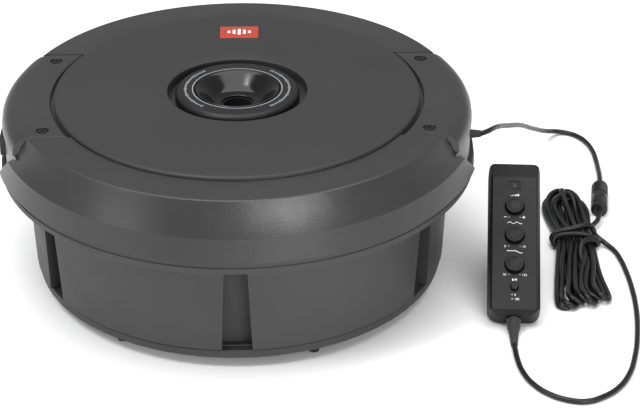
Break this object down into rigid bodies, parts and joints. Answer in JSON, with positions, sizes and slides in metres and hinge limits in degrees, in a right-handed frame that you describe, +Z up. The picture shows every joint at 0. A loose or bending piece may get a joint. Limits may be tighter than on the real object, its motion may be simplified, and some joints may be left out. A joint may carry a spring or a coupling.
{
  "type": "powered car subwoofer",
  "caption": "Round powered subwoofer for a spare wheel well, with a bore for the wheel's bolt, and a wired remote with three knobs and a phase button.",
  "frame": {"origin": "foot of the central bore, level with the feet", "axes": "+Z up along the bore, -Y towards the front, +X towards the remote"},
  "size_m": [0.4878, 0.4216, 0.1525],
  "materials": {
    "cover_plastic": "fine grained black",
    "plate_plastic": "fine grained black",
    "tub_plastic": "fine grained black",
    "satin_black": "satin black",
    "gloss_black": "polished black",
    "tube_plastic": "black",
    "badge": "satin orange red",
    "black_steel": "black zinc",
    "zinc_steel": "zinc plated",
    "foam": "closed cell foam",
    "rubber": "soft matt",
    "driver_metal": "black coated",
    "plate_steel": "zinc plated",
    "ferrite": "sintered grey",
    "copper": "enamelled wire",
    "cone_pulp": "coated pulp",
    "spider_cloth": "treated cloth",
    "board_green": "solder mask",
    "heatsink_aluminium": "extruded",
    "capacitor_sleeve": "shrink sleeve",
    "socket_plastic": "black",
    "fuse_plastic": "clear red",
    "remote_plastic": "satin black",
    "knob_plastic": "satin black",
    "pot_metal": "zinc",
    "window": "polished dark",
    "cord_black": "matt vinyl",
    "connector_plastic": "satin black"
  },
  "bodies": {
    "enclosure": {"top_cover": "cover_plastic", "side_cover_left": "cover_plastic", "side_cover_right": "cover_plastic", "centre_plate": "plate_plastic", "tub": "tub_plastic", "base_ring": "tub_plastic", "hub_ring": "satin_black", "hub_funnel": "gloss_black", "hub_tube": "tube_plastic", "badge": "badge", "side_cover_screws": "black_steel", "hub_screws": "zinc_steel", "cover_screws": "zinc_steel", "base_screws": "zinc_steel", "driver_screws": "zinc_steel", "amp_screws": "zinc_steel", "remote_screws": "zinc_steel", "bracket_screws": "zinc_steel", "seal_ring": "foam", "driver_gasket": "foam", "feet": "rubber", "surround": "rubber", "cable_gland": "rubber", "remote_strain_relief": "rubber", "driver_frame": "driver_metal", "front_plate": "plate_steel", "pole_yoke": "plate_steel", "magnet_ring": "ferrite", "inductor": "copper", "spider": "spider_cloth", "amp_board": "board_green", "remote_board": "board_green", "heatsink": "heatsink_aluminium", "capacitors": "capacitor_sleeve", "power_socket": "socket_plastic", "phase_switch": "socket_plastic", "fuse": "fuse_plastic", "remote_front_shell": "remote_plastic", "remote_back_shell": "remote_plastic", "remote_bracket": "remote_plastic", "potentiometers": "pot_metal", "indicator_window": "window", "cord_unit_lead": "cord_black", "cord_socket_lead": "cord_black", "cord_hank": "cord_black", "cord_remote_lead": "cord_black", "connector_plug": "connector_plastic", "connector_socket": "connector_plastic"},
    "driver_cone": {"cone": "cone_pulp", "voice_coil": "copper", "dust_ring": "cone_pulp"},
    "gain_control": {"knob_gain": "knob_plastic", "shaft_gain": "zinc_steel"},
    "bass_control": {"knob_bass": "knob_plastic", "shaft_bass": "zinc_steel"},
    "filter_control": {"knob_filter": "knob_plastic", "shaft_filter": "zinc_steel"},
    "phase_key": {"phase_button": "knob_plastic"}
  },
  "joints": [
    {"name": "cone_stroke", "type": "slide", "parent": "enclosure", "child": "driver_cone", "axis": [0, 0, 1], "range_m": [-0.008, 0.008], "stiffness_N_per_m": 4000, "deforming": ["surround", "spider"]},
    {"name": "gain_turn", "type": "hinge", "parent": "enclosure", "child": "gain_control", "pos_m": [0.21214, -0.03324, 0.06499], "axis": [-0.0379, -0.5286, 0.848], "range_deg": [-150, 150]},
    {"name": "bass_turn", "type": "hinge", "parent": "enclosure", "child": "bass_control", "pos_m": [0.21061, -0.05455, 0.05163], "axis": [-0.0379, -0.5286, 0.848], "range_deg": [-150, 150]},
    {"name": "filter_turn", "type": "hinge", "parent": "enclosure", "child": "filter_control", "pos_m": [0.20908, -0.07587, 0.03828], "axis": [-0.0379, -0.5286, 0.848], "range_deg": [-150, 150]},
    {"name": "phase_press", "type": "slide", "parent": "enclosure", "child": "phase_key", "axis": [0.0379, 0.5286, -0.848], "range_m": [0, 0.0025], "stiffness_N_per_m": 300, "springref_m": -0.001}
  ]
}
